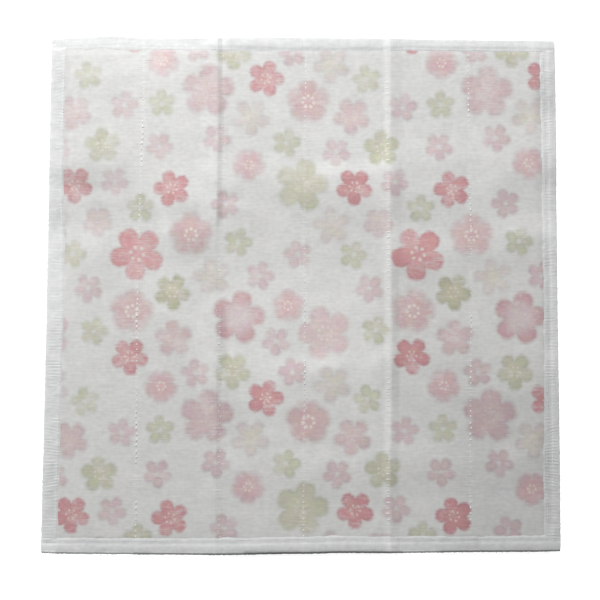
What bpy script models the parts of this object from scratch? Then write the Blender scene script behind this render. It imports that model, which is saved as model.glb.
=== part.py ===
"""A nearly square gauze cloth, hemmed on its four sides and opened out flat on a surface.

The cloth is one sheet. Its packing folds have left it creased in thirds both ways: the two
upright creases stand up as narrow ridges with a sharp top, and the cross creases have relaxed
to low, wide rolls. Between them the underside lies flat at z = 0.
X runs along the cloth's width and Y along its length. The origin is the centre of its underside.
"""

from collections import namedtuple
import math

import bmesh
import bpy

MM = 0.001

# Plain rectangle that the cloth's outline is drawn in from
CLOTH_WIDTH = 344.8 * MM
CLOTH_LENGTH = 350 * MM
HALF_WIDTH = CLOTH_WIDTH / 2
HALF_LENGTH = CLOTH_LENGTH / 2

# Two layers of gauze, and the turned hems
SHEET_THICKNESS = 1.1 * MM
HEM_THICKNESS = 1.7 * MM
HEM_RIM_THICKNESS = 0.9 * MM
SIDE_HEM_WIDTH = 10.4 * MM
TOP_HEM_WIDTH = 9.6 * MM
BOTTOM_HEM_WIDTH = 11.4 * MM
HEM_ROUNDING = 0.9 * MM
HEM_STEP = 1.0 * MM
CORNER_DRAW_IN = 0.5 * MM

# Spacing of the sheet's mesh, close at a crease and wide between creases
FINE_STEP = 2.4 * MM
WIDE_STEP = 12 * MM
STEP_GROWTH = 0.42

# How far each edge is drawn in from the rectangle, by the place along it, in millimetres
EdgePoint = namedtuple("EdgePoint", "along draw_in")
LEFT_EDGE = (
    EdgePoint(-175, 1.0),
    EdgePoint(-130, 1.4),
    EdgePoint(-95, 1.9),
    EdgePoint(-50, 2.4),
    EdgePoint(-10, 2.9),
    EdgePoint(40, 3.3),
    EdgePoint(100, 3.6),
    EdgePoint(175, 4.1),
)
RIGHT_EDGE = (
    EdgePoint(-175, 0.1),
    EdgePoint(-100, 0.0),
    EdgePoint(-30, 0.2),
    EdgePoint(50, 0.3),
    EdgePoint(125, 0.0),
    EdgePoint(175, 0.2),
)
TOP_EDGE = (
    EdgePoint(-172, 2.9),
    EdgePoint(-158, 2.1),
    EdgePoint(-130, 0.8),
    EdgePoint(-95, 2.2),
    EdgePoint(-30, 1.5),
    EdgePoint(40, 2.1),
    EdgePoint(62, 2.6),
    EdgePoint(100, 3.4),
    EdgePoint(172, 4.0),
)
BOTTOM_EDGE = (
    EdgePoint(-172, 1.6),
    EdgePoint(-120, 1.2),
    EdgePoint(-90, 1.0),
    EdgePoint(-55, 0.7),
    EdgePoint(0, 1.5),
    EdgePoint(30, 2.1),
    EdgePoint(60, 1.9),
    EdgePoint(120, 2.7),
    EdgePoint(172, 2.9),
)

# Low ridges left by the packing folds, in millimetres. A ridge runs from one point to another and
# is highest along that line. It falls away over high_side on its left or upper side and over
# low_side on its right or lower side, and fades in or out over end_fade about each end.
Ridge = namedtuple("Ridge", "from_x from_y to_x to_y height high_side low_side end_fade")

# The two upright creases, pressed to a sharp top
LEFT_CREASE = (
    Ridge(-55.2, -210, -55.4, -116, 0.5, 16, 4.5, 24),
    Ridge(-55.4, -116, -56.0, -72, 0.6, 14, 3.6, 20),
    Ridge(-56.0, -72, -56.2, -50, 0.75, 14, 3.4, 16),
    Ridge(-56.2, -50, -56.0, -6, 1.0, 14, 7, 16),
    Ridge(-56.4, -6, -56.6, 46, 0.3, 8, 3.2, 20),
    Ridge(-55.4, 46, -55.4, 66, 1.2, 12, 4.2, 14),
    Ridge(-55.4, 66, -55.7, 128, 0.9, 12, 3.8, 16),
    Ridge(-55.8, 128, -56.2, 210, 0.75, 10, 3.4, 20),
)
RIGHT_CREASE = (
    Ridge(60.2, -210, 60.2, -125, 0.5, 5, 6, 24),
    Ridge(60.2, -125, 60.4, -60, 0.8, 5, 5.5, 20),
    Ridge(60.4, -60, 61.2, 20, 0.8, 5, 5.5, 20),
    Ridge(61.2, 20, 61.0, 80, 0.7, 6, 8, 18),
    Ridge(60.8, 92, 60.8, 210, 0.7, 5, 8.5, 20),
)
SHARP_CREASES = LEFT_CREASE + RIGHT_CREASE

# The cross creases, relaxed to soft rolls with rounded tops
MIDDLE_ROLLS = (
    Ridge(-60, 73, -8, 75, 0.9, 22, 26, 26),
    Ridge(-8, 76, 20, 77, 1.1, 16, 34, 20),
    Ridge(20, 78, 62, 79, 1.5, 15, 44, 20),
    Ridge(-60, -58, -6, -60, 0.9, 24, 40, 20),
    Ridge(-6, -52, 62, -50, 1.0, 15, 30, 22),
    Ridge(-52, -118, 60, -116, 0.7, 18, 30, 26),
)
RIGHT_ROLLS = (
    Ridge(58, 84, 112, 85, 1.2, 22, 44, 18),
    Ridge(112, 84, 200, 82, 1.3, 40, 25, 26),
    Ridge(60, 25, 112, 24, 0.9, 22, 26, 20),
    Ridge(112, 38, 200, 34, 0.8, 18, 28, 26),
    Ridge(60, -62, 200, -58, 0.5, 26, 24, 26),
    Ridge(60, -114, 200, -110, 0.5, 16, 24, 26),
)
LEFT_ROLLS = (
    Ridge(-200, 86, -112, 84, 1.4, 46, 24, 30),
    Ridge(-200, 64, -118, 62, 0.3, 8, 8, 16),
    Ridge(-200, 21, -112, 24, 1.3, 30, 40, 26),
    Ridge(-116, 70, -60, 60, 0.9, 30, 20, 20),
    Ridge(-112, 46, -50, 38, 0.8, 12, 22, 18),
    Ridge(-62, 58, -30, 52, 0.6, 8, 22, 16),
)
SOFT_ROLLS = MIDDLE_ROLLS + RIGHT_ROLLS + LEFT_ROLLS

# Waves that keep the ridges from lying dead straight or even, in millimetres
Wave = namedtuple("Wave", "size along_x along_y start")
CREASE_SWAY = (Wave(0.5, 0, 1 / 31, 0.0),)
ROLL_SWAY = (Wave(2.2, 1 / 17, 0, 0.7), Wave(1.2, 1 / 7.3, 0, 2.0))
ROLL_LIFT = (Wave(0.28, 1 / 11.5, 0, 1.1), Wave(0.18, 1 / 5.7, 1 / 23, 0.0))

# Where the mesh is closest: the crease lines across the width and along the length
FINE_PLACES_ACROSS = (-55.5 * MM, 60.5 * MM)
FINE_PLACES_ALONG = (-56 * MM, 24 * MM, 40 * MM, 62 * MM, 78 * MM)


def smooth_step(value):
    """0 below 0, 1 above 1, and a smooth rise between."""
    held = min(max(value, 0.0), 1.0)
    return held * held * (3.0 - 2.0 * held)


def draw_in_at(edge, along):
    """The draw-in of an edge in metres, at a place along it in metres."""
    place = along / MM
    if place <= edge[0].along:
        return edge[0].draw_in * MM
    for before, after in zip(edge, edge[1:]):
        if place <= after.along:
            share = smooth_step((place - before.along) / (after.along - before.along))
            return (before.draw_in + share * (after.draw_in - before.draw_in)) * MM
    return edge[-1].draw_in * MM


def wave_sum(waves, x, y):
    """The waves' sum at a point in millimetres."""
    return sum(
        wave.size * math.sin(wave.along_x * x + wave.along_y * y + wave.start) for wave in waves
    )


def ridge_height(ridge, x, y, sharpness):
    """The height that one ridge adds at a point, all in millimetres.

    A sharpness of 0 gives a rounded top and soft foot, and 1 gives straight flanks.
    """
    run_x = ridge.to_x - ridge.from_x
    run_y = ridge.to_y - ridge.from_y
    length = math.hypot(run_x, run_y)
    away_x = x - ridge.from_x
    away_y = y - ridge.from_y
    along = (away_x * run_x + away_y * run_y) / length
    across = (away_y * run_x - away_x * run_y) / length
    reach = ridge.high_side if across > 0 else ridge.low_side
    if abs(across) >= reach:
        return 0.0
    side = 1.0 - abs(across) / reach
    rise = sharpness * side + (1.0 - sharpness) * smooth_step(side)
    start = smooth_step(along / ridge.end_fade + 0.5)
    end = smooth_step((length - along) / ridge.end_fade + 0.5)
    return ridge.height * rise * start * end


def fold_height(x, y):
    """The height of the sheet's underside at a point, both in metres."""
    mm_x = x / MM
    mm_y = y / MM
    crease_x = mm_x + wave_sum(CREASE_SWAY, mm_x, mm_y)
    roll_y = mm_y + wave_sum(ROLL_SWAY, mm_x, mm_y)
    lift = 1.0 + wave_sum(ROLL_LIFT, mm_x, mm_y)
    creases = sum(ridge_height(ridge, crease_x, mm_y, 0.7) for ridge in SHARP_CREASES)
    rolls = sum(ridge_height(ridge, mm_x, roll_y, 0.0) for ridge in SOFT_ROLLS)
    return (creases + lift * rolls) * MM


def hem_stations(half_span, hem_width):
    """Mesh places over one hem, from its outer edge to the top of its inner step."""
    foot = half_span - hem_width
    return [half_span, half_span - HEM_ROUNDING, half_span - hem_width / 2, foot + HEM_STEP]


def stations(half_span, low_hem, high_hem, fine_places):
    """Mesh places along one direction: at the hems' corners, and closer together near a crease."""
    low = low_hem - half_span
    high = half_span - high_hem
    inner = [low]
    while inner[-1] < high:
        nearest = min(abs(inner[-1] + FINE_STEP - place) for place in fine_places)
        step = min(max(FINE_STEP, nearest * STEP_GROWTH), WIDE_STEP)
        inner.append(inner[-1] + step)
    stretch = (high - low) / (inner[-1] - low)
    inner = [(place - low) * stretch + low for place in inner]
    low_side = [-place for place in hem_stations(half_span, low_hem)]
    high_side = hem_stations(half_span, high_hem)[::-1]
    return low_side + inner + high_side


def on_outline(x, y):
    """Moves a point of the plain rectangle so that its edges follow the cloth's own outline."""
    pull_x = (x / HALF_WIDTH) ** 2
    pull_y = (y / HALF_LENGTH) ** 2
    corner = CORNER_DRAW_IN * (pull_x * pull_y) ** 16
    side = LEFT_EDGE if x < 0 else RIGHT_EDGE
    end = BOTTOM_EDGE if y < 0 else TOP_EDGE
    in_x = pull_x * draw_in_at(side, y) + corner
    in_y = pull_y * draw_in_at(end, x) + corner
    return x - math.copysign(in_x, x), y - math.copysign(in_y, y)


def thickness_share(x, y):
    """The sheet's thickness at a point of the plain rectangle, as a share of the hem's."""
    from_side = HALF_WIDTH - abs(x)
    from_end = HALF_LENGTH - abs(y)
    end_hem = TOP_HEM_WIDTH if y > 0 else BOTTOM_HEM_WIDTH
    if min(from_side, from_end) < HEM_ROUNDING / 2:
        return HEM_RIM_THICKNESS / HEM_THICKNESS
    if from_side < SIDE_HEM_WIDTH - HEM_STEP / 2 or from_end < end_hem - HEM_STEP / 2:
        return 1.0
    return SHEET_THICKNESS / HEM_THICKNESS


def gauze_material():
    """White cotton gauze."""
    material = bpy.data.materials.new("white_gauze")
    material.use_nodes = True
    shader = material.node_tree.nodes["Principled BSDF"]
    shader.inputs["Base Color"].default_value = (0.80, 0.79, 0.78, 1.0)
    shader.inputs["Roughness"].default_value = 0.9
    shader.inputs["Metallic"].default_value = 0.0
    return material


def cloth_underside():
    """The underside as a grid laid on the outline and lifted at the ridges, with hem weights."""
    across = stations(HALF_WIDTH, SIDE_HEM_WIDTH, SIDE_HEM_WIDTH, FINE_PLACES_ACROSS)
    along = stations(HALF_LENGTH, BOTTOM_HEM_WIDTH, TOP_HEM_WIDTH, FINE_PLACES_ALONG)
    columns = len(across) - 1
    rows = len(along) - 1
    bm = bmesh.new()
    bmesh.ops.create_grid(bm, x_segments=columns, y_segments=rows, size=0.5)
    shares = []
    for vert in bm.verts:
        x = across[round((vert.co.x + 0.5) * columns)]
        y = along[round((vert.co.y + 0.5) * rows)]
        shares.append(thickness_share(x, y))
        laid_x, laid_y = on_outline(x, y)
        vert.co = (laid_x, laid_y, fold_height(laid_x, laid_y))
    mesh = bpy.data.meshes.new("towel")
    bm.to_mesh(mesh)
    bm.free()
    return mesh, shares


def make_towel(collection):
    """The whole cloth: its underside thickened upwards, more at the hems than between them."""
    mesh, shares = cloth_underside()
    towel = bpy.data.objects.new("towel", mesh)
    collection.objects.link(towel)
    mesh.materials.append(gauze_material())
    thickness = towel.vertex_groups.new(name="thickness")
    for index, share in enumerate(shares):
        thickness.add([index], share, "REPLACE")
    solidify = towel.modifiers.new("cloth_thickness", "SOLIDIFY")
    solidify.thickness = HEM_THICKNESS
    solidify.offset = 1.0
    solidify.vertex_group = "thickness"
    solidify.thickness_vertex_group = 0.0
    mesh.shade_smooth()
    mesh.set_sharp_from_angle(angle=math.radians(40))
    return towel


for old in list(bpy.data.objects):
    bpy.data.objects.remove(old, do_unlink=True)
towel_collection = bpy.data.collections.new("tenugui_towel")
bpy.context.scene.collection.children.link(towel_collection)
make_towel(towel_collection)
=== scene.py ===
"""Looks of a printed gauze towel that lies opened out flat, with its hems, stitches and creases.

X runs across the cloth's width and Y along its length, as in the CAD, and its underside is at z = 0.
Lengths in the tables are millimetres, and meshes are in metres.
"""

from collections import namedtuple
import itertools
import math

import bmesh
import bpy
import numpy as np
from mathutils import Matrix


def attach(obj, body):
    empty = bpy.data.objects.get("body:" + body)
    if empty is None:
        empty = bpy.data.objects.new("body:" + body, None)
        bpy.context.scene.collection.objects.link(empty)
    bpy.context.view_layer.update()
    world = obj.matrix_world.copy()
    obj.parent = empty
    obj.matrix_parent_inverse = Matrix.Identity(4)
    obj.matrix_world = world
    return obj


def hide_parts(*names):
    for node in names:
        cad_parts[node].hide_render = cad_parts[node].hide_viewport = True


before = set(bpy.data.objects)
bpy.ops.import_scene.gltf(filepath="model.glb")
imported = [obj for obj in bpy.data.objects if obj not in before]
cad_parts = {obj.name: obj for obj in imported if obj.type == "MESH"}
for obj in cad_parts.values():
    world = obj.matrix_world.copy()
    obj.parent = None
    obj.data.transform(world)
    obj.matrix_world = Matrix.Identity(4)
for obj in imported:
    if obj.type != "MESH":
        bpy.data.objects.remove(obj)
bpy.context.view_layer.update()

MM = 0.001


def table(row_type, *rows):
    """A table whose rows are all of one named type."""
    return tuple(row_type(*row) for row in rows)


# Camera, aimed almost straight down
CAMERA_TILT = math.radians(4.0)
CAMERA_AIM_Y = -5.1 * MM
CAMERA_DISTANCE = 1.0
CAMERA_LENS = 89.65
CAMERA_SENSOR = 36.0

# Light and floor
LIGHT_PLACE = (-0.5, 1.0, 0.6)
LIGHT_SIZE = 0.4
LIGHT_POWER = 17.6
AMBIENT = 0.246
FLOOR_DROP = 0.15 * MM
FLOOR_SIZE = 12.0
FLOOR_COLOUR = (0.9, 0.9, 0.9)
FLOOR_GLOW = 0.74

# Plain rectangle that the outline is drawn in from, and the thickness, as in the CAD
CLOTH_WIDTH = 344.8 * MM
CLOTH_LENGTH = 350 * MM
HALF_WIDTH = CLOTH_WIDTH / 2
HALF_LENGTH = CLOTH_LENGTH / 2
SHEET_THICKNESS = 1.1 * MM
CORNER_DRAW_IN = 0.5 * MM

# How far each edge is drawn in from the rectangle, by the place along it
EdgePoint = namedtuple("EdgePoint", "along draw_in")
LEFT_EDGE = table(
    EdgePoint,
    (-175, 1.0), (-130, 1.4), (-95, 1.9), (-50, 2.4), (-10, 2.9), (40, 3.3), (100, 3.6), (175, 4.1),
)
RIGHT_EDGE = table(EdgePoint, (-175, 0.1), (-100, 0.0), (-30, 0.2), (50, 0.3), (125, 0.0), (175, 0.2))
TOP_EDGE = table(
    EdgePoint,
    (-172, 2.9), (-158, 2.1), (-130, 0.8), (-95, 2.2), (-30, 1.5), (40, 2.1), (62, 2.6), (100, 3.4),
    (172, 4.0),
)
BOTTOM_EDGE = table(
    EdgePoint,
    (-172, 1.6), (-120, 1.2), (-90, 1.0), (-55, 0.7), (0, 1.5), (30, 2.1), (60, 1.9), (120, 2.7),
    (172, 2.9),
)

# Low ridges left by the packing folds. A ridge runs from one point to another and is highest along
# that line. It falls away over high_side on its left or upper side and over low_side on its right
# or lower side, and fades in or out over end_fade about each end.
Ridge = namedtuple("Ridge", "from_x from_y to_x to_y height high_side low_side end_fade")

# The two upright creases, pressed to a sharp top
LEFT_CREASE = table(
    Ridge,
    (-55.2, -210, -55.4, -116, 0.5, 16, 4.5, 24),
    (-55.4, -116, -56.0, -72, 0.6, 14, 3.6, 20),
    (-56.0, -72, -56.2, -50, 0.75, 14, 3.4, 16),
    (-56.2, -50, -56.0, -6, 1.0, 14, 7, 16),
    (-56.4, -6, -56.6, 46, 0.3, 8, 3.2, 20),
    (-55.4, 46, -55.4, 66, 1.2, 12, 4.2, 14),
    (-55.4, 66, -55.7, 128, 0.9, 12, 3.8, 16),
    (-55.8, 128, -56.2, 210, 0.75, 10, 3.4, 20),
)
RIGHT_CREASE = table(
    Ridge,
    (60.2, -210, 60.2, -125, 0.5, 5, 6, 24),
    (60.2, -125, 60.4, -60, 0.8, 5, 5.5, 20),
    (60.4, -60, 61.2, 20, 0.8, 5, 5.5, 20),
    (61.2, 20, 61.0, 80, 0.7, 6, 8, 18),
    (60.8, 92, 60.8, 210, 0.7, 5, 8.5, 20),
)
SHARP_CREASES = LEFT_CREASE + RIGHT_CREASE

# The cross creases, relaxed to soft rolls with rounded tops
MIDDLE_ROLLS = table(
    Ridge,
    (-60, 73, -8, 75, 0.9, 22, 26, 26),
    (-8, 76, 20, 77, 1.1, 16, 34, 20),
    (20, 78, 62, 79, 1.5, 15, 44, 20),
    (-60, -58, -6, -60, 0.9, 24, 40, 20),
    (-6, -52, 62, -50, 1.0, 15, 30, 22),
    (-52, -118, 60, -116, 0.7, 18, 30, 26),
)
RIGHT_ROLLS = table(
    Ridge,
    (58, 84, 112, 85, 1.2, 22, 44, 18),
    (112, 84, 200, 82, 1.3, 40, 25, 26),
    (60, 25, 112, 24, 0.9, 22, 26, 20),
    (112, 38, 200, 34, 0.8, 18, 28, 26),
    (60, -62, 200, -58, 0.5, 26, 24, 26),
    (60, -114, 200, -110, 0.5, 16, 24, 26),
)
LEFT_ROLLS = table(
    Ridge,
    (-200, 86, -112, 84, 1.4, 46, 24, 30),
    (-200, 64, -118, 62, 0.3, 8, 8, 16),
    (-200, 21, -112, 24, 1.3, 30, 40, 26),
    (-116, 70, -60, 60, 0.9, 30, 20, 20),
    (-112, 46, -50, 38, 0.8, 12, 22, 18),
    (-62, 58, -30, 52, 0.6, 8, 22, 16),
)
SOFT_ROLLS = MIDDLE_ROLLS + RIGHT_ROLLS + LEFT_ROLLS

# Waves that keep the ridges from lying dead straight or even
Wave = namedtuple("Wave", "size along_x along_y start")
CREASE_SWAY = table(Wave, (0.5, 0, 1 / 31, 0.0))
ROLL_SWAY = table(Wave, (2.2, 1 / 17, 0, 0.7), (1.2, 1 / 7.3, 0, 2.0))
ROLL_LIFT = table(Wave, (0.28, 1 / 11.5, 0, 1.1), (0.18, 1 / 5.7, 1 / 23, 0.0))
CREASE_SHARPNESS = 0.7

# Spacing of the fine sheet's mesh, its rim under the hems, and its underside's coarser steps.
# About the two fine places its columns stand closer together, worked out from so many samples.
SHEET_STEP = 1.3 * MM
CROWDING_SAMPLES = 2001
FINE_GAIN = 1.2
FINE_REACH = 6.0 * MM
FINE_PLACES = (-55.0 * MM, 61.0 * MM)
SHEET_INSET = 3.0 * MM
UNDERSIDE_STRIDE = 2

# Random bumps: values up to size, a new one each spacing, from a grid of RANDOM_CELLS each way.
# The cloth's top is uneven by bumps of three sizes, except close to its edges.
Bumps = namedtuple("Bumps", "spacing size seed")
RANDOM_CELLS = 256
UNEVEN_BUMPS = table(Bumps, (24, 0.22, 11), (11, 0.12, 12), (5, 0.06, 13))
EVEN_MARGIN = 9.0
EVEN_FADE = 5.0

# Where the cloth's colour is painted a little lighter or darker than its white, as a share of it:
# painted light and painted shade for the shading of its folds and hems, for the light falling
# unevenly over it, for the shadow line under the bottom edge and for the right edge's rounding
PaintedLightAndShadeZone = namedtuple("PaintedLightAndShadeZone", "x y half_x half_y fade share")
PAINTED_LIGHT_AND_SHADE_ZONES = table(
    PaintedLightAndShadeZone,
    (2, -38, 52, 36, 14, 0.085),
    (2, -125, 52, 30, 30, 0.03),
    (145, -125, 45, 60, 40, -0.085),
    (-150, 125, 35, 60, 40, -0.055),
    (-150, 35, 35, 12, 16, -0.04),
    (-165, 62, 8, 22, 14, -0.015),
    (-165, 5, 8, 26, 14, 0.045),
    # These rows paint the shadow line under the bottom edge darker or lighter along it
    (-142, -174.1, 32, 1.4, 2.4, 1.1),
    (-168, -173, 6, 1.6, 2.6, 0.6),
    (-82, -174, 18, 1.4, 2.4, 0.35),
    (11, -173.6, 48, 2, 3, -0.38),
    (80, -173.6, 12, 1.6, 3.4, 1.15),
    (171, -173.4, 5, 1.6, 3, 1.4),
    (-115, -165, 37, 3.5, 3, -0.06),
    (-168, -168, 7, 6, 6, 0.08),
    (92, -165, 28, 4, 4, -0.07),
    (30, 95, 26, 30, 16, 0.055),
    (-68, -35, 7, 22, 10, 0.05),
    (74, 30, 10, 20, 8, -0.04),
    (0, 5, 54, 12, 14, 0.06),
    (15, -82, 50, 14, 12, 0.05),
    (110, 72, 55, 8, 14, 0.06),
    (110, -49, 55, 8, 12, -0.055),
    (-125, 0, 45, 14, 14, 0.055),
    (-135, 51, 40, 7, 10, -0.07),
    (-27, 43, 6, 7, 8, -0.06),
    (-73, 30, 12, 6, 7, -0.05),
    (-151, 76, 10, 5, 6, -0.05),
    # This row paints a highlight on the right edge's rounding
    (172.6, 0, 1, 190, 1.4, 0.13),
    (166, 110, 8, 60, 6, -0.03),
    (164.8, -65, 2.6, 88, 2, -0.08),
    (164.8, -15, 3, 22, 6, -0.06),
    (-165, 132, 8, 40, 8, -0.045),
    (-119, 155, 42, 8, 10, 0.055),
    (-115, 170, 66, 3.6, 3.5, 0.085),
    (-117, 164, 56, 3, 4, 0.05),
    (122, 169.5, 46, 3, 3.5, 0.05),
    (158, 168.5, 14, 5, 8, 0.06),
    (160, 160, 6, 6, 6, 0.07),
    (118, 162.5, 44, 2, 3, 0.04),
    (166, 134, 6, 13, 12, -0.14),
    (162.5, -108, 3, 14, 10, -0.07),
    (166, 79, 6, 9, 10, -0.1),
    (163.4, 27, 3, 10, 10, -0.08),
    (-165, 52, 8, 10, 10, -0.045),
    (-164.4, -132, 2.2, 18, 6, -0.08),
)

# A hem in cross-section, from the foot of its outer edge over its top to its inner foot.
# HEM_FOOT is counted from that inner foot and leads back below, to HEM_FOOT_INSET from the edge.
ProfilePoint = namedtuple("ProfilePoint", "inward height")
LEFT_HEM_TOP = table(
    ProfilePoint,
    (0.3, 0.3), (0.0, 0.75), (0.08, 1.1), (0.4, 1.34), (1.1, 1.46), (2.2, 1.54), (3.5, 1.58),
    (5.0, 1.58), (6.4, 1.55), (7.3, 1.51), (7.9, 1.49), (8.5, 1.51), (9.2, 1.51), (9.8, 1.42),
    (10.5, 1.26), (11.2, 1.13), (12.2, 1.0),
)
RIGHT_HEM_TOP = table(
    ProfilePoint,
    (0.3, 0.3), (0.0, 0.8), (0.02, 1.25), (0.2, 1.42), (0.7, 1.49), (1.5, 1.5), (2.5, 1.5), (3.4, 1.5),
    (4.1, 1.45), (4.8, 1.34), (5.4, 1.26), (6.0, 1.22), (6.6, 1.22), (7.2, 1.25), (7.8, 1.27),
    (8.4, 1.26), (9.0, 1.2), (9.8, 1.1), (10.7, 1.02),
)
BOTTOM_HEM_TOP = table(
    ProfilePoint,
    (0.0, 0.1), (0.05, 0.5), (0.2, 0.9), (0.5, 1.2), (0.9, 1.38), (1.5, 1.5), (2.2, 1.58), (3.0, 1.64),
    (4.0, 1.69), (5.0, 1.7), (6.0, 1.67), (6.6, 1.6), (7.3, 1.47), (7.9, 1.4), (8.6, 1.39), (9.4, 1.41),
    (10.1, 1.41), (10.7, 1.36), (11.5, 1.23), (12.5, 1.04),
)
TOP_HEM_TOP = table(
    ProfilePoint,
    (0.3, 0.3), (0.0, 0.7), (0.05, 1.1), (0.25, 1.35), (0.7, 1.44), (1.6, 1.49), (3.0, 1.54),
    (4.6, 1.58), (5.8, 1.58), (6.5, 1.52), (7.3, 1.42), (7.8, 1.4), (8.2, 1.39), (8.7, 1.35),
    (9.2, 1.27), (9.7, 1.18), (10.2, 1.11), (10.9, 1.03),
)
HEM_FOOT = table(ProfilePoint, (-0.3, 0.6), (-6.6, 0.55), (-6.9, 0.02))
HEM_FOOT_INSET = 0.35
HEM_STEP_ALONG = 0.32 * MM

# From this far inward to its third last point a hem stays at least this high, to cover the print
HEM_CLEAR_FROM = 2.4
HEM_CLEAR_HEIGHT = 1.13

# Its innermost edge stays at most this high, so that it lies below the cloth's top
HEM_TUCK_HEIGHT = 1.04

# A side hem ends under the end hems: over the last END_RUN of it, it is held lower
HEM_HIGHEST = 2.0
END_LOWERING = 0.7
END_RUN = 8.0
END_FADE = 6.0

# A hem's own bumps, and how ragged its outer edge is. A hem's seed is added to theirs.
HEM_BUMPS = table(Bumps, (3.0, 0.1, 1), (5.5, 0.14, 60))
RAGGED_BUMPS = Bumps(1.3, 0.26, 0)
RAGGED_REACH = 2.0

# How the width of each hem changes along it, as a share of its cross-section's
HemWidth = namedtuple("HemWidth", "along share")
LEFT_WIDTHS = table(
    HemWidth,
    (-175, 1.06), (-130, 1.08), (-60, 1.12), (-5, 1.2), (40, 1.1), (75, 0.97), (110, 1.02), (175, 1.06),
)
RIGHT_WIDTHS = table(
    HemWidth,
    (-175, 1.15), (-110, 1.15), (-60, 1.0), (-5, 0.93), (50, 1.0), (175, 1.1),
)
BOTTOM_WIDTHS = table(
    HemWidth,
    (-172, 0.94), (-90, 0.94), (-40, 1.0), (60, 1.02), (100, 0.95), (172, 0.95),
)
TOP_WIDTHS = table(
    HemWidth,
    (-172, 0.88), (-128, 0.9), (-90, 0.9), (-70, 0.93), (-53, 1.0), (-10, 1.2), (54, 1.1), (75, 0.87),
    (172, 0.92),
)

# Where the top hem's grooves run deeper than its cross-section, and shallower with a depth below 0
HemGroove = namedtuple("HemGroove", "from_along to_along inward half_width depth")
TOP_GROOVES = table(
    HemGroove,
    (-42, 62, 8.9, 2.6, 0.18),
    (-42, 62, 3.8, 4.5, -0.13),
    (-200, -60, 5.0, 5.5, 0.26),
    (-200, -60, 8.6, 2.0, 0.08),
)
GROOVE_FADE = 24.0

# Where a hem is puckered by its stitching, and how high
PuckerZone = namedtuple("PuckerZone", "from_along to_along from_inward to_inward height fine_height")
LEFT_PUCKERS = table(
    PuckerZone,
    (-180, -20, 1.5, 9.9, 0.068, 0.034),
    (-20, 60, 1.5, 9.9, 0.027, 0.02),
    (60, 180, 4.0, 9.9, 0.045, 0.01),
)
RIGHT_PUCKERS = table(
    PuckerZone,
    (-180, -20, 0.8, 9.2, 0.075, 0.036),
    (-20, 60, 0.8, 9.2, 0.058, 0.024),
    (60, 180, 2.0, 9.2, 0.062, 0.018),
)
END_PUCKERS = table(PuckerZone, (-180, 180, 0.0, 11.0, 0.02, 0.01))
PUCKER_PITCH = 2.2
FINE_PUCKER_PITCH = 1.7
PUCKER_MIDDLE = 5.0
PUCKER_GAIN = 2.2
PUCKER_PEAKEDNESS = 1.5
PUCKER_STRENGTH = Bumps(4.5, 1.0, 32)
PUCKER_DRIFT = Bumps(12.0, 3.0, 31)
PUCKER_LEAN = Bumps(16.0, 0.7, 33)
PUCKER_SHIFT = Bumps(5.0, 0.9, 34)
PUCKER_ALONG_FADE = 30.0
PUCKER_INWARD_FADE = 1.6

# The four hems. rim_strips is how many of a hem's outermost strips of faces are painted grey as the
# shadow line under the edge, and stitch_rows how far inward its sewn lines run.
Hem = namedtuple("Hem", "edge seed profile widths puckers grooves end_inset rim_strips stitch_rows")
HEMS = table(
    Hem,
    ("left", 41, LEFT_HEM_TOP, LEFT_WIDTHS, LEFT_PUCKERS, (), 4.0, 0, (9.0,)),
    ("right", 43, RIGHT_HEM_TOP, RIGHT_WIDTHS, RIGHT_PUCKERS, (), 4.0, 0, (7.4, 4.1)),
    ("bottom", 45, BOTTOM_HEM_TOP, BOTTOM_WIDTHS, END_PUCKERS, (), 0.0, 5, (10.0,)),
    ("top", 47, TOP_HEM_TOP, TOP_WIDTHS, END_PUCKERS, TOP_GROOVES, 0.0, 0, (8.6,)),
)
HEM_STITCH_END = 163.0
HEM_STITCH_PLAY = 0.08
HEM_STITCH_SUNK = 0.045
HEM_STITCH_HALF_SIZES = (0.8, 0.3, 0.075)

# The upright lines of tie stitches that hold the two gauze layers together, the half sizes of
# their stitches, and the ripples and the lighter band that they leave in the cloth
TiePoint = namedtuple("TiePoint", "y x")
TieLine = namedtuple("TieLine", "half_across half_along spread points")
LEFT_CREASE_TIES = table(
    TiePoint,
    (-125, -53.3), (-60, -53.5), (0, -54.5), (40, -53.8), (70, -53.0), (130, -51.6),
)
FAR_LEFT_TIES = table(
    TiePoint,
    (-125, -108.7), (-25, -109.0), (40, -108.2), (115, -105.9), (140, -105.6),
)
MIDDLE_TIES = table(TiePoint, (-125, 2.3), (-45, 3.3), (50, 2.8), (130, 3.6))
RIGHT_CREASE_TIES = table(TiePoint, (-125, 58.6), (-25, 59.0), (40, 59.3), (130, 58.6))
FAR_RIGHT_TIES = table(TiePoint, (-125, 112.9), (-25, 114.2), (40, 114.7), (130, 113.7))
TIE_LINES = table(
    TieLine,
    (0.62, 1.15, 0.15, FAR_LEFT_TIES),
    (0.55, 0.5, 0.6, LEFT_CREASE_TIES),
    (0.45, 0.6, 0.8, LEFT_CREASE_TIES),
    (0.62, 1.15, 0.15, MIDDLE_TIES),
    (1.5, 0.55, 0.15, RIGHT_CREASE_TIES),
    (0.62, 1.15, 0.15, FAR_RIGHT_TIES),
)
TIE_PITCH = 3.75
TIE_END = 162.0
TIE_SUNK = 0.026
TIE_HALF_HEIGHT = 0.055
TIE_ALONG_PLAY = 0.18
TIE_TURN_PLAY = 0.12
TIE_SIZE_PLAY = (0.85, 1.15)
TIE_SIZE_LEAST = 0.5
TIE_SIZE_BUMPS = Bumps(18.0, 0.8, 51)
TIE_TONE = 0.03
TIE_TONE_REACH = 1.3
RIPPLE_REACH = 3.2
RIPPLE_GAIN = 1.1
RIPPLE_LEAST = 0.3
RIPPLE_BUMPS = Bumps(14.0, 1.4, 61)

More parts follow.
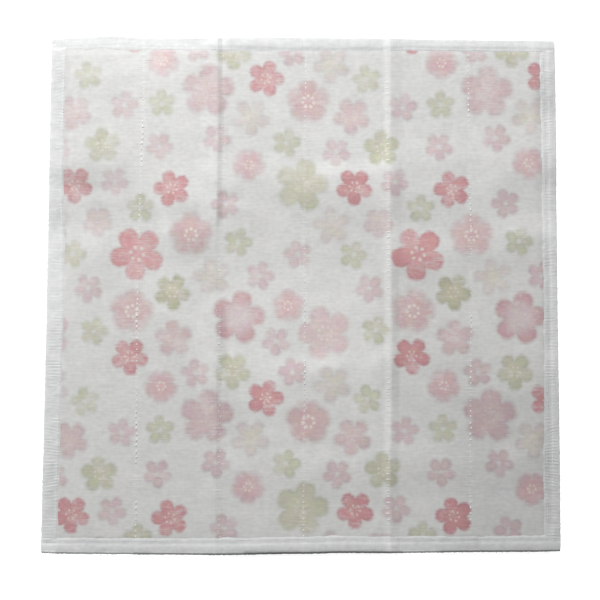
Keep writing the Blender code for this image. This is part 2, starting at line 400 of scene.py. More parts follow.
# Frayed thread ends along the bottom edge: where they start, how they point, bend and droop
LooseRun = namedtuple("LooseRun", "from_x to_x count")
LOOSE_RUNS = table(LooseRun, (-168, 168, 34), (-170, -150, 5), (150, 170, 5))
LOOSE_LEAN = 0.9
LOOSE_BEND = 0.8
LOOSE_LENGTHS = (0.9, 2.0)
LOOSE_HEIGHTS = (0.35, 0.9)
LOOSE_ROOT = 0.6
LOOSE_FOOT = 0.1
LOOSE_RADIUS = 0.09
LOOSE_STEPS = 6
LOOSE_SIDES = 5

# Each stitch is a bead
BEAD_RINGS = 4
BEAD_SIDES = 7

# The print repeats by these distances; each kind of blossom is one row of sizes and inks.
# middle, half_width and core are shares of reach. Inks are per cent of the cloth's white.
REPEAT_ACROSS = 188.0
REPEAT_ALONG = 215.4
Kind = namedtuple(
    "Kind", "name reach middle half_width core edge tip heart dots ring dot_size dot_strength line"
)
KIND_ROWS = table(
    Kind,
    ("red_large", 17.9, 0.58, 0.365, 0.56, 1.4, (92, 47, 50), (100, 55, 58), 6, 4.2, 1.15, 1.0, 0.2),
    ("red_small", 12.3, 0.58, 0.365, 0.62, 1.3, (87, 45, 49), (89, 48, 50), 6, 3.2, 0.65, 0.8, 0.35),
    ("soft_large", 14.0, 0.53, 0.48, 0.8, 3.2, (91, 70, 72), (92, 66, 68), 7, 3.8, 1.1, 1.0, 0.0),
    ("soft_small", 10.5, 0.53, 0.48, 0.8, 2.8, (94, 71, 75), (96, 67, 70), 6, 2.6, 0.8, 0.9, 0.0),
    ("soft_pale", 10.0, 0.56, 0.42, 0.68, 2.2, (94, 79, 82), (95, 82, 82), 5, 2.6, 0.6, 0.4, 0.0),
    ("rose_large", 17.5, 0.58, 0.385, 0.68, 2.5, (87, 66, 70), (92, 74, 76), 8, 4.5, 0.6, 0.4, 0.3),
    ("rose_deep", 17.5, 0.58, 0.37, 0.58, 2.0, (86, 56, 60), (95, 81, 85), 8, 4.5, 0.6, 0.3, 0.3),
    ("rose_bright", 17.5, 0.58, 0.385, 0.66, 2.3, (98, 78, 81), (99, 82, 83), 8, 4.5, 0.9, 0.8, 0.0),
    ("rose_small", 12.2, 0.58, 0.37, 0.62, 2.2, (90, 71, 74), (95, 77, 79), 6, 3.2, 0.5, 0.4, 0.2),
    ("green_small", 12.0, 0.58, 0.365, 0.58, 1.9, (80, 78, 64), (83, 81, 66), 6, 3.2, 0.7, 0.8, 0.0),
    ("brown_small", 12.0, 0.58, 0.36, 0.56, 1.7, (73, 70, 55), (82, 77, 62), 6, 3.2, 0.7, 0.8, 0.0),
    ("green_large", 17.5, 0.58, 0.375, 0.62, 2.2, (83, 80, 67), (88, 85, 72), 8, 4.6, 0.8, 0.6, 0.2),
    ("cream_heart", 12.5, 0.6, 0.31, 0.45, 2.1, (94, 84, 85), (96, 90, 84), 5, 2.4, 0.6, 0.3, 0.0),
    ("pink_petals", 9.5, 0.57, 0.35, -0.15, 1.7, (93, 75, 79), (97, 77, 81), 5, 1.0, 0.2, 0.0, 0.0),
    ("green_petals", 9.5, 0.57, 0.35, -0.15, 1.7, (84, 82, 69.5), (87, 84.5, 71), 5, 1.0, 0.2, 0.0, 0.0),
)
KINDS = {row.name: row for row in KIND_ROWS}

# One repeat of the print: the centre of each blossom, and how far it is turned clockwise
Bloom = namedtuple("Bloom", "kind x y turn")
BLOOMS = table(
    Bloom,
    ("green_small", -44.8, 162.9, 36),
    ("pink_petals", -69.5, 162.4, -10),
    ("pink_petals", -5.0, 162.0, -13),
    ("cream_heart", 21.5, 154.0, -28),
    ("soft_small", -92.4, 153.8, 36),
    ("red_small", -23.0, 144.7, 18),
    ("green_petals", -143.0, 144.0, -12),
    ("rose_large", -62.0, 134.1, 5),
    ("soft_large", 5.5, 129.1, 0),
    ("green_petals", -93.1, 125.4, -3),
    ("pink_petals", -118.5, 123.8, 10),
    ("rose_small", -153.0, 119.0, -30),
    ("cream_heart", -33.0, 118.1, 34),
    ("pink_petals", -56.0, 103.0, 30),
    ("green_petals", -9.1, 101.2, 15),
    ("green_small", -133.1, 97.0, -4),
    ("pink_petals", -94.5, 97.0, 32),
    ("pink_petals", -163.5, 94.5, 38),
    ("soft_small", -34.5, 86.0, 36),
    ("green_large", 1.2, 72.0, 13),
    ("pink_petals", -124.5, 73.0, 30),
    ("red_small", -151.5, 70.8, 37),
    ("red_small", -86.0, 68.4, -16),
    ("pink_petals", -50.0, 59.0, -18),
    ("green_petals", -107.0, 55.5, 0),
    ("cream_heart", 21.4, 44.5, -8),
    ("soft_pale", -135.5, 46.5, 35),
    ("soft_large", -73.0, 38.0, 0),
    ("green_petals", -41.5, 33.5, 16),
    ("red_large", -109.0, 25.5, 42),
    ("green_petals", -152.3, 25.0, 19),
    ("pink_petals", -1.6, 25.6, -12),
    ("pink_petals", -26.6, 11.0, 17),
    ("cream_heart", -58.8, 10.0, -13),
    ("pink_petals", -141.5, 2.5, 42),
    ("brown_small", -85.5, 0.0, 29),
    ("soft_small", -8.0, -9.0, 0),
    ("soft_large", -112.4, -12.5, 10),
    ("rose_deep", -41.2, -17.0, 12),
    ("green_petals", -137.5, -25.5, 16),
    ("rose_bright", 16.6, -27.5, -17),
    ("rose_small", -84.5, -30.3, -4),
    ("pink_petals", -16.0, -33.0, 40),
    ("red_small", -113.5, -42.2, 33),
)

# Two blossoms whose tips show below the top hem, where the print runs a little off its repeat
TIP_BLOOMS = table(
    Bloom,
    ("red_small", -111.6, 174.9, 36),
    ("red_small", 75.8, 173.9, 36),
)

# How strongly the print shows at the middle, and how much more per millimetre to the right or down
PRINT_STRENGTH = 0.94
PRINT_GAIN = 0.00075

# The printed panels are stretched a little along the cloth beyond each upright crease
PanelStretch = namedtuple("PanelStretch", "line_x fade side share")
PANEL_STRETCHES = table(PanelStretch, (-56, 16, -1, 0.020), (60, 16, 1, 0.0102))

# How the print's numbers are packed into the steps of colour ramps
KIND_PLACES = 16
REACH_SCALE = 20.0
CORE_SHIFT = 0.2
EDGE_SCALE = 4.0
RING_SCALE = 8.0
DOT_SCALE = 2.0
COUNT_SCALE = 10.0

# Random patches in a material: their sizes, how finely they break up, and how much they count
Patches = namedtuple("Patches", "across along detail weight")
WEAVE_PATCHES = table(Patches, (14.0, 1.1, 2.0, 0.55), (1.2, 12.0, 2.0, 0.3), (3.0, 0.8, 2.0, 0.12))
WEAVE_CONTRAST = 0.11
WEAVE_BUMP_STRENGTH = 0.4
WEAVE_BUMP_HEIGHT = 0.12 * MM
TONE_PATCHES = table(Patches, (11.0, 9.0, 2.0, 0.08), (3.4, 2.2, 0.0, 0.07))
RED_PATCHES = Patches(18.0, 14.0, 2.0, 0.03)

# The ink's uneven edge along both threads, its strength, and how far its hue leans
WEFT_BLEED = Patches(5.0, 0.9, 2.0, 1.1)
WARP_BLEED = Patches(0.9, 5.0, 2.0, 0.6)
INK_MEAN = 0.95
INK_PATCHES = table(
    Patches,
    (4.0, 3.0, 2.0, 0.55),
    (1.5, 0.9, 2.0, 0.3),
    (9.0, 0.8, 0.0, 0.35),
    (12.0, 10.0, 0.0, 0.3),
)
HUE_PATCHES = Patches(7.0, 6.0, 0.0, 1.0)
HUE_RANGE = (-0.4, 0.4)
REVERSE_INK = 0.35

# Petals, and the dots and lines in a blossom's heart
PETALS = 5
PETAL_SQUARENESS = 2.5
PETAL_SPREAD = 0.42
PETAL_SHADE_SHARE = 0.6
PETAL_RIM_DEPTHS = (2.2, 0.3)
HEART_TO_TIP = (0.25, 0.9)
DOT_EDGE = (-0.5, 0.4)
LINE_HALF_WIDTH = 0.3
LINE_EDGE = (-0.25, 0.25)
LINE_START = (0.6, 1.2)

# Colours of the cloth and thread, and what parts of the print are multiplied by
PURE_WHITE = (1.0, 1.0, 1.0)
GAUZE_WHITE = (0.80, 0.80, 0.785)
HEM_WHITE = (0.855, 0.865, 0.865)
# Grey painted on the bottom hem's outer strips as the shadow line under its edge
PAINTED_SHADOW_GREY = (0.40, 0.41, 0.41)
THREAD_WHITE = (0.92, 0.92, 0.91)
DOT_CREAM = (1.06, 0.95, 0.9)
PETAL_SHADE = (0.93, 0.97, 0.96)
PETAL_RIM = (0.90, 0.93, 0.93)
PETAL_ORANGE = (1.01, 1.02, 0.975)
PETAL_PINK = (1.0, 0.975, 1.005)


def smooth_step(value):
    """0 below 0, 1 above 1, and a smooth rise between."""
    held = np.clip(value, 0.0, 1.0)
    return held * held * (3.0 - 2.0 * held)


def window(place, low, high, fade):
    """1 between low and high and 0 outside, changing smoothly over fade about each of them."""
    return smooth_step((place - low) / fade + 0.5) * smooth_step((high - place) / fade + 0.5)


def read_table(rows, place):
    """The second column of a table of two columns, at places between its rows."""
    firsts, seconds = zip(*rows)
    return np.interp(place, firsts, seconds)


def draw_in_at(edge, along):
    """The draw-in of an edge in metres, at places along it in metres."""
    place = along / MM
    total = np.full_like(place, edge[0].draw_in)
    for before, after in zip(edge, edge[1:]):
        share = smooth_step((place - before.along) / (after.along - before.along))
        total += share * (after.draw_in - before.draw_in)
    return total * MM


def wave_sum(waves, x, y):
    """The waves' sum at points in millimetres."""
    return sum(wave.size * np.sin(wave.along_x * x + wave.along_y * y + wave.start) for wave in waves)


def ridge_height(ridge, x, y, sharpness):
    """The height that one ridge adds at points, all in millimetres.

    A sharpness of 0 gives a rounded top and soft foot, and 1 gives straight flanks.
    """
    run_x = ridge.to_x - ridge.from_x
    run_y = ridge.to_y - ridge.from_y
    length = math.hypot(run_x, run_y)
    away_x = x - ridge.from_x
    away_y = y - ridge.from_y
    along = (away_x * run_x + away_y * run_y) / length
    across = (away_y * run_x - away_x * run_y) / length
    reach = np.where(across > 0, ridge.high_side, ridge.low_side)
    side = np.clip(1.0 - np.abs(across) / reach, 0.0, 1.0)
    rise = sharpness * side + (1.0 - sharpness) * smooth_step(side)
    return ridge.height * rise * window(along, 0.0, length, ridge.end_fade)


def fold_height(x, y):
    """The height of the sheet's underside at points, all in metres."""
    mm_x = x / MM
    mm_y = y / MM
    crease_x = mm_x + wave_sum(CREASE_SWAY, mm_x, mm_y)
    roll_y = mm_y + wave_sum(ROLL_SWAY, mm_x, mm_y)
    lift = 1.0 + wave_sum(ROLL_LIFT, mm_x, mm_y)
    creases = sum(ridge_height(ridge, crease_x, mm_y, CREASE_SHARPNESS) for ridge in SHARP_CREASES)
    rolls = sum(ridge_height(ridge, mm_x, roll_y, sharpness=0.0) for ridge in SOFT_ROLLS)
    return (creases + lift * rolls) * MM


def on_outline(x, y):
    """Moves points of the plain rectangle so that its edges follow the cloth's own outline."""
    pull_x = (x / HALF_WIDTH) ** 2
    pull_y = (y / HALF_LENGTH) ** 2
    corner = CORNER_DRAW_IN * (pull_x * pull_y) ** 16
    side = np.where(x < 0, draw_in_at(LEFT_EDGE, y), draw_in_at(RIGHT_EDGE, y))
    end = np.where(y < 0, draw_in_at(BOTTOM_EDGE, x), draw_in_at(TOP_EDGE, x))
    return x - np.sign(x) * (pull_x * side + corner), y - np.sign(y) * (pull_y * end + corner)


def random_waves(bumps, x, y, seed_shift=0):
    """Smooth random values from 0 to the bumps' size at points in millimetres."""
    values = np.random.default_rng(bumps.seed + seed_shift).random((RANDOM_CELLS, RANDOM_CELLS))
    place_x = x / bumps.spacing + RANDOM_CELLS / 2
    place_y = y / bumps.spacing + RANDOM_CELLS / 2
    cell_x = np.floor(place_x).astype(int)
    cell_y = np.floor(place_y).astype(int)
    share_x = smooth_step(place_x - cell_x)
    share_y = smooth_step(place_y - cell_y)

    def along_row(row):
        left = values[row % RANDOM_CELLS, cell_x % RANDOM_CELLS]
        right = values[row % RANDOM_CELLS, (cell_x + 1) % RANDOM_CELLS]
        return left * (1 - share_x) + right * share_x

    return bumps.size * (along_row(cell_y) * (1 - share_y) + along_row(cell_y + 1) * share_y)


def centred_waves(bumps, x, y, seed_shift=0):
    """The same random values, but half above 0 and half below."""
    return random_waves(bumps, x, y, seed_shift) - bumps.size / 2


def sheet_top(x, y):
    """The height of the cloth's top between the hems, all in metres."""
    uneven = sum(random_waves(bumps, x / MM, y / MM) for bumps in UNEVEN_BUMPS)
    edge_gap = np.minimum(HALF_WIDTH - np.abs(x), HALF_LENGTH - np.abs(y)) / MM
    uneven = uneven * smooth_step((edge_gap - EVEN_MARGIN) / EVEN_FADE)
    return fold_height(x, y) + SHEET_THICKNESS + uneven * MM


def even_places(half_run, step, stride=1):
    """Evenly spaced places from -half_run to half_run, in a number of steps that stride divides."""
    count = round(2 * half_run / (step * stride)) * stride
    return np.linspace(-half_run, half_run, count + 1)


def crowded_places(half_run, step, stride):
    """Places from -half_run to half_run, closer together about the fine places."""
    even = np.linspace(-half_run, half_run, CROWDING_SAMPLES)
    near = [np.exp(-(((even - place) / FINE_REACH) ** 2)) for place in FINE_PLACES]
    crowding = 1.0 + FINE_GAIN * sum(near)
    amount = np.cumsum(crowding) * (even[1] - even[0])
    amount -= amount[0]
    count = round(amount[-1] / (step * stride)) * stride
    return np.interp(np.linspace(0.0, amount[-1], count + 1), amount, even)


def placed(name, data):
    """A new object of this mesh, lamp or camera, put into the scene."""
    thing = bpy.data.objects.new(name, data)
    bpy.context.scene.collection.objects.link(thing)
    return thing


def linked_mesh(name, points, faces):
    """A smooth-shaded mesh object of these points and faces."""
    mesh = bpy.data.meshes.new(name)
    mesh.from_pydata(np.asarray(points).tolist(), [], faces)
    mesh.shade_smooth()
    return placed(name, mesh)


def closed_mesh(name, parts):
    """One mesh of closed parts, each given as its points and faces, with all faces turned outward."""
    all_faces = []
    count = 0
    for points, faces in parts:
        all_faces.extend([corner + count for corner in face] for face in faces)
        count += len(points)
    piece = linked_mesh(name, np.concatenate([points for points, faces in parts]), all_faces)
    bm = bmesh.new()
    bm.from_mesh(piece.data)
    bmesh.ops.recalc_face_normals(bm, faces=bm.faces[:])
    bm.to_mesh(piece.data)
    bm.free()
    return piece


def grid_points(x, y, z):
    """The points of a grid as rows of three numbers."""
    return np.stack((x, y, z), axis=-1).reshape(-1, 3)


def grid_quads(index):
    """Quads over a grid of point numbers, facing up where columns run along +X and rows along +Y."""
    corners = (index[:-1, :-1], index[:-1, 1:], index[1:, 1:], index[1:, :-1])
    return np.stack(corners, axis=-1).reshape(-1, 4)


def tube_faces(rings, sides):
    """The faces of a closed tube of so many rings with so many points each, its two ends last."""
    index = np.arange(rings * sides).reshape(rings, sides)
    wrapped = np.concatenate((index, index[:, :1]), axis=1)
    return grid_quads(wrapped).tolist() + [index[0].tolist(), index[-1, ::-1].tolist()]


def rim_of(index):
    """The point numbers round a grid's rim, counter-clockwise from above and closed."""
    ring = np.concatenate((index[0, :-1], index[:-1, -1], index[-1, :0:-1], index[:0:-1, 0]))
    return ring.tolist() + [int(ring[0])]


def make_sheet():
    """The whole cloth between its hems: a fine top, a coarser underside and a rim under the hems."""
    across = crowded_places(HALF_WIDTH - SHEET_INSET, SHEET_STEP, UNDERSIDE_STRIDE)
    along = even_places(HALF_LENGTH - SHEET_INSET, SHEET_STEP, UNDERSIDE_STRIDE)
    x, y = on_outline(*np.meshgrid(across, along))
    top = grid_points(x, y, sheet_top(x, y))
    under_x = x[::UNDERSIDE_STRIDE, ::UNDERSIDE_STRIDE]
    under_y = y[::UNDERSIDE_STRIDE, ::UNDERSIDE_STRIDE]
    under = grid_points(under_x, under_y, fold_height(under_x, under_y))
    top_index = np.arange(len(top)).reshape(x.shape)
    under_index = np.arange(len(under)).reshape(under_x.shape) + len(top)
    top_faces = grid_quads(top_index)
    under_faces = grid_quads(under_index)[:, ::-1]
    top_rim = rim_of(top_index)
    under_rim = rim_of(under_index)
    walls = []
    for place in range(len(under_rim) - 1):
        first = place * UNDERSIDE_STRIDE
        upper = top_rim[first : first + UNDERSIDE_STRIDE + 1]
        walls.append([under_rim[place], under_rim[place + 1]] + upper[::-1])
    points = np.concatenate((top, under))
    faces = top_faces.tolist() + under_faces.tolist() + walls
    sheet = linked_mesh("cloth", points, faces)
    slots = np.zeros(len(faces), dtype=np.int32)
    slots[len(top_faces) :] = 1
    sheet.data.polygons.foreach_set("material_index", slots)
    lay_print(sheet.data, points, np.concatenate((top_faces, under_faces)))
    lay_tone_and_painted_shade(sheet.data)
    return sheet


def panel_stretch(x):
    """How much longer the print runs along the cloth at a place across it, in millimetres."""
    return 1.0 + sum(
        panel.share * smooth_step(panel.side * (x - panel.line_x) / panel.fade + 0.5)
        for panel in PANEL_STRETCHES
    )


def repeated_blooms():
    """Every blossom that reaches the cloth, with its repeats."""
    found = list(TIP_BLOOMS)
    for bloom in BLOOMS:
        for across, along in itertools.product(range(-2, 3), repeat=2):
            x = bloom.x + across * REPEAT_ACROSS
            y = (bloom.y + along * REPEAT_ALONG) * float(panel_stretch(x))
            if abs(x) < HALF_WIDTH / MM + REACH_SCALE and abs(y) < HALF_LENGTH / MM + REACH_SCALE:
                found.append(Bloom(bloom.kind, x, y, bloom.turn))
    return found


def tie_closeness(x, y, reach):
    """How close places in millimetres are to the tie stitches' lines, from 0 to 1."""
    routes = sorted({line.points for line in TIE_LINES})
    return sum(np.exp(-(((x - read_table(route, y)) / reach) ** 2)) for route in routes)


def tone_and_painted_shade_at(x, y):
    """How light the cloth's colour is at places in millimetres, as a share of its plain white, with the
    zones' painted light and painted shade and the lighter band along the tie lines.
    """
    tone_and_painted_shade = np.ones_like(x)
    for zone in PAINTED_LIGHT_AND_SHADE_ZONES:
        inside_x = smooth_step((zone.half_x - np.abs(x - zone.x)) / zone.fade + 0.5)
        inside_y = smooth_step((zone.half_y - np.abs(y - zone.y)) / zone.fade + 0.5)
        tone_and_painted_shade += zone.share * inside_x * inside_y
    return tone_and_painted_shade + TIE_TONE * tie_closeness(x, y, TIE_TONE_REACH)


def lay_tone_and_painted_shade(mesh):
    """Stores, at each of a mesh's points, its tone with painted light and shade, how rippled it is and
    how strong its print.
    """
    flat = np.zeros(len(mesh.vertices) * 3, dtype=np.float32)
    mesh.vertices.foreach_get("co", flat)
    x = flat[0::3] / MM
    y = flat[1::3] / MM
    rippling = RIPPLE_LEAST + random_waves(RIPPLE_BUMPS, x, y)
    stored = {
        "tone_and_painted_shade": tone_and_painted_shade_at(x, y),
        "ripple": RIPPLE_GAIN * tie_closeness(x, y, RIPPLE_REACH) * rippling,
        "print_strength": PRINT_STRENGTH + PRINT_GAIN * (x - y),
    }
    for name, values in stored.items():
        layer = mesh.attributes.new(name=name, type="FLOAT", domain="POINT")
        layer.data.foreach_set("value", values.astype(np.float32))


def lay_print(mesh, points, quads):
    """Gives each face its nearest blossom: two UV layers hold the place in it, and its kind."""
    corners = points[quads] / MM
    centres = points[quads].mean(axis=1) / MM
    blooms = repeated_blooms()
    nearest = np.zeros(len(quads), dtype=int)
    least = np.full(len(quads), np.inf)
    for number, bloom in enumerate(blooms):
        distance = np.hypot(centres[:, 0] - bloom.x, centres[:, 1] - bloom.y)
        gap = distance - KINDS[bloom.kind].reach
        closer = gap < least
        nearest[closer] = number
        least[closer] = gap[closer]
    kind_order = list(KINDS)
    rows = [(row.x, row.y, math.radians(row.turn), kind_order.index(row.kind)) for row in blooms]
    centre_x, centre_y, turn, kind = np.array(rows)[nearest].T[:, :, None]
    away_x = corners[:, :, 0] - centre_x
    away_y = corners[:, :, 1] - centre_y
    cos = np.cos(turn)
    sin = np.sin(turn)
    place = np.stack((away_x * cos - away_y * sin, away_x * sin + away_y * cos), axis=-1)
    label = np.empty_like(place)
    label[:, :, 0] = (kind + 0.5) / KIND_PLACES
    label[:, :, 1] = nearest[:, None]
    for name, values in (("bloom_place", place), ("bloom_kind", label)):
        layer = mesh.uv_layers.new(name=name)
        flat = np.zeros(len(mesh.loops) * 2, dtype=np.float32)
        flat[: values.size] = values.ravel()
        layer.uv.foreach_set("vector", flat)


def pucker_height(zones, along, inward):
    """How high a hem's puckers stand at places along and across it, in millimetres."""
    straight = np.zeros_like(along)
    drift = random_waves(PUCKER_DRIFT, along, straight)
    lean = centred_waves(PUCKER_LEAN, along, straight)
    place = along + lean * (inward - PUCKER_MIDDLE) + random_waves(PUCKER_SHIFT, along, inward)
    wave = 0.5 + 0.5 * np.cos(2 * math.pi * place / PUCKER_PITCH + drift)
    fine_wave = 0.5 + 0.5 * np.cos(2 * math.pi * place / FINE_PUCKER_PITCH + 2.0 * drift)
    strength = PUCKER_GAIN * random_waves(PUCKER_STRENGTH, along, inward) ** PUCKER_PEAKEDNESS
    total = np.zeros_like(along)
    for zone in zones:
        inside_along = window(along, zone.from_along, zone.to_along, PUCKER_ALONG_FADE)
        inside_across = window(inward, zone.from_inward, zone.to_inward, PUCKER_INWARD_FADE)
        total += (zone.height * wave + zone.fine_height * fine_wave) * inside_along * inside_across
    return total * strength


def groove_depth(grooves, along, inward):
    """How much lower a hem's grooves make it at places along and across it, in millimetres."""
    total = np.zeros_like(along)
    for groove in grooves:
        across = smooth_step(1.0 - np.abs(inward - groove.inward) / groove.half_width)
        total += groove.depth * window(along, groove.from_along, groove.to_along, GROOVE_FADE) * across
    return total


def relief(hem, along, inward):
    """How much a hem's puckers and grooves raise it above its cross-section, in millimetres."""
    return pucker_height(hem.puckers, along, inward) - groove_depth(hem.grooves, along, inward)


def runs_up(hem):
    """Whether a hem is one of the two side hems."""
    return hem.edge in ("left", "right")


def hem_place(hem, along, inward):
    """The cloth's point at a place along a hem and a distance inward, from millimetres to metres."""
    along_edge = along * MM
    from_edge = inward * read_table(hem.widths, along) * MM
    side = -1 if hem.edge in ("left", "bottom") else 1
    if runs_up(hem):
        return on_outline(side * (HALF_WIDTH - from_edge), along_edge)
    return on_outline(along_edge, side * (HALF_LENGTH - from_edge))


def make_hem(hem):
    """One turned hem: a closed strip with its profile at each place along the edge.

    Its outermost strips of faces, where it has rim_strips, take the second material, whose grey is
    painted as the shadow line under the edge.
    """
    half_run = (HALF_LENGTH if runs_up(hem) else HALF_WIDTH) - hem.end_inset * MM
    profile = hem.profile
    foot_place = profile[-1].inward
    foot = [(foot_place + point.inward, point.height) for point in HEM_FOOT]
    foot.append((profile[0].inward + HEM_FOOT_INSET, HEM_FOOT[-1].height))
    places = even_places(half_run, HEM_STEP_ALONG)
    ring_inward, ring_height = np.array(list(profile) + foot).T
    along, inward = np.meshgrid(places / MM, ring_inward, indexing="ij")
    is_top = np.arange(len(ring_inward)) < len(profile)
    height = ring_height + is_top * relief(hem, along, inward)
    for bumps in HEM_BUMPS:
        height = height + is_top * centred_waves(bumps, along, inward, hem.seed)
    over_sheet = is_top & (inward > HEM_CLEAR_FROM) & (inward <= profile[-3].inward)
    height = np.where(over_sheet, np.maximum(height, HEM_CLEAR_HEIGHT), height)
    tucked = is_top & (inward >= foot_place)
    height = np.where(tucked, np.minimum(height, HEM_TUCK_HEIGHT), height)
    if hem.end_inset:
        near_end = smooth_step((np.abs(along) - half_run / MM + END_RUN) / END_FADE)
        height = np.where(is_top, np.minimum(height, HEM_HIGHEST - END_LOWERING * near_end), height)
    outermost = smooth_step((RAGGED_REACH - inward) / RAGGED_REACH) * is_top
    ragged = centred_waves(RAGGED_BUMPS, along, np.zeros_like(along), hem.seed)
    x, y = hem_place(hem, along, inward + outermost * ragged)
    points = grid_points(x, y, fold_height(x, y) + height * MM)
    piece = closed_mesh("hem_" + hem.edge, [(points, tube_faces(*along.shape))])
    slots = np.zeros(len(piece.data.polygons), dtype=np.int32)
    strips = slots[:-2].reshape(len(places) - 1, len(ring_inward))
    strips[:, : hem.rim_strips] = 1
    piece.data.polygons.foreach_set("material_index", slots)
    lay_tone_and_painted_shade(piece.data)
    return piece


def bead_shape():
    """Points and faces of a round bead of radius 1, its poles on the X axis."""
    points = [(-1.0, 0.0, 0.0)]
    for ring in range(1, BEAD_RINGS):
        lean = math.pi * ring / BEAD_RINGS
        for side in range(BEAD_SIDES):
            turn = 2 * math.pi * side / BEAD_SIDES
            radius = math.sin(lean)
            points.append((-math.cos(lean), radius * math.cos(turn), radius * math.sin(turn)))
    points.append((1.0, 0.0, 0.0))
    faces = []
    for side in range(BEAD_SIDES):
        following = (side + 1) % BEAD_SIDES
        faces.append((0, 1 + following, 1 + side))
        for here in range(1, 1 + (BEAD_RINGS - 2) * BEAD_SIDES, BEAD_SIDES):
            there = here + BEAD_SIDES
            faces.append((here + side, here + following, there + following, there + side))
        faces.append((there + side, there + following, len(points) - 1))
    return np.array(points), faces


def make_beads(name, centres, angles, half_sizes, surface=None):
    """One joined mesh of beads, each turned by its own angle about Z, with half sizes in metres.

    Where a surface is given, it lifts each point of the beads by its height there.
    """
    shape, shape_faces = bead_shape()
    scaled = shape[None, :, :] * half_sizes[:, None, :]
    cos = np.cos(angles)[:, None]
    sin = np.sin(angles)[:, None]
    x = scaled[:, :, 0] * cos - scaled[:, :, 1] * sin
    y = scaled[:, :, 0] * sin + scaled[:, :, 1] * cos
    points = np.stack((x, y, scaled[:, :, 2]), axis=-1) + centres[:, None, :]
    if surface:
        points[:, :, 2] += surface(points[:, :, 0], points[:, :, 1])
    return closed_mesh(name, [(bead, shape_faces) for bead in points])


def make_tie_stitches(seed):
    """The short stitches that show as upright dotted lines over the cloth."""
    rng = np.random.default_rng(seed)
    parts = []
    for line in TIE_LINES:
        y = np.arange(-TIE_END, TIE_END, TIE_PITCH)
        y = y + rng.normal(0.0, TIE_ALONG_PLAY, len(y))
        row = (line.half_across, line.half_along, TIE_HALF_HEIGHT, line.spread)
        parts.append(np.column_stack((read_table(line.points, y), y, np.tile(row, (len(y), 1)))))
    x, y, half_across, half_along, half_height, spread = np.concatenate(parts).T
    x = x + rng.normal(0.0, 1.0, len(x)) * spread
    size = TIE_SIZE_LEAST + random_waves(TIE_SIZE_BUMPS, x, y)
    half_sizes = np.column_stack((half_across, half_along, half_height)) * size[:, None]
    half_sizes = half_sizes * rng.uniform(*TIE_SIZE_PLAY, half_sizes.shape) * MM
    angles = rng.normal(0.0, TIE_TURN_PLAY, len(x))
    centres = np.column_stack((x, y, np.full_like(x, -TIE_SUNK))) * MM
    return make_beads("tie_stitches", centres, angles, half_sizes, surface=sheet_top)


def make_hem_stitches(seed):
    """The sewn lines along the inner lips of the four hems."""
    rng = np.random.default_rng(seed)
    centres = []
    angles = []
    for hem, stitched_at in ((hem, place) for hem in HEMS for place in hem.stitch_rows):
        along = np.arange(-HEM_STITCH_END, HEM_STITCH_END, PUCKER_PITCH)
        along = along + rng.normal(0.0, HEM_STITCH_PLAY, len(along))
        inward = stitched_at + rng.normal(0.0, HEM_STITCH_PLAY, len(along))
        x, y = hem_place(hem, along, inward)
        height = read_table(hem.profile[1:], inward) + relief(hem, along, inward) - HEM_STITCH_SUNK
        centres.append(grid_points(x, y, fold_height(x, y) + height * MM))
        angles.append(np.full_like(along, math.pi / 2 if runs_up(hem) else 0.0))
    centres = np.concatenate(centres)
    half_sizes = np.tile(HEM_STITCH_HALF_SIZES, (len(centres), 1)) * MM
    return make_beads("hem_stitches", centres, np.concatenate(angles), half_sizes)


def thread_tube(path):
    """Points and faces of one thin closed tube along a short path."""
    ahead = np.gradient(path, axis=0)
    ahead /= np.linalg.norm(ahead, axis=1)[:, None]
    sideways = np.cross(ahead, (0.0, 0.0, 1.0))
    sideways /= np.linalg.norm(sideways, axis=1)[:, None]
    upward = np.cross(sideways, ahead)
    turns = (2 * math.pi * np.arange(LOOSE_SIDES) / LOOSE_SIDES)[None, :, None]
    radius = LOOSE_RADIUS * MM
    rings = path[:, None] + radius * (np.cos(turns) * sideways[:, None] + np.sin(turns) * upward[:, None])
    return rings.reshape(-1, 3), tube_faces(len(path), LOOSE_SIDES)


def make_loose_threads(seed):
    """Short frayed ends that stick out along the bottom edge and at the corners."""
    rng = np.random.default_rng(seed)
    starts = np.concatenate([rng.uniform(run.from_x, run.to_x, run.count) for run in LOOSE_RUNS])
    root_x, root_y = on_outline(starts * MM, np.full_like(starts, -HALF_LENGTH))
    parts = []
    for x, y in zip(root_x, root_y + LOOSE_ROOT * MM):
        heading = -math.pi / 2 + rng.normal(0.0, LOOSE_LEAN)
        bend = rng.normal(0.0, LOOSE_BEND)
        step_length = rng.uniform(*LOOSE_LENGTHS) * MM / LOOSE_STEPS
        height = rng.uniform(*LOOSE_HEIGHTS) * MM
        path = []
        for step in range(LOOSE_STEPS + 1):
            path.append((x, y, height * (1.0 - step / LOOSE_STEPS) + LOOSE_FOOT * MM))
            x += math.cos(heading) * step_length
            y += math.sin(heading) * step_length
            heading += bend / LOOSE_STEPS
        parts.append(thread_tube(np.array(path)))
    return closed_mesh("loose_threads", parts)


class Value:
    """A number in a material's node tree. Sums and products of it become Math nodes."""

    def __init__(self, socket):
        self.socket = socket

    def __add__(self, other):
        return calc("ADD", self, other)

    def __sub__(self, other):
        return calc("SUBTRACT", self, other)

    def __rsub__(self, other):
        return calc("SUBTRACT", other, self)

    def __mul__(self, other):
        return calc("MULTIPLY", self, other)

    def __truediv__(self, other):
        return calc("DIVIDE", self, other)

    def __rtruediv__(self, other):
        return calc("DIVIDE", other, self)

    __radd__ = __add__


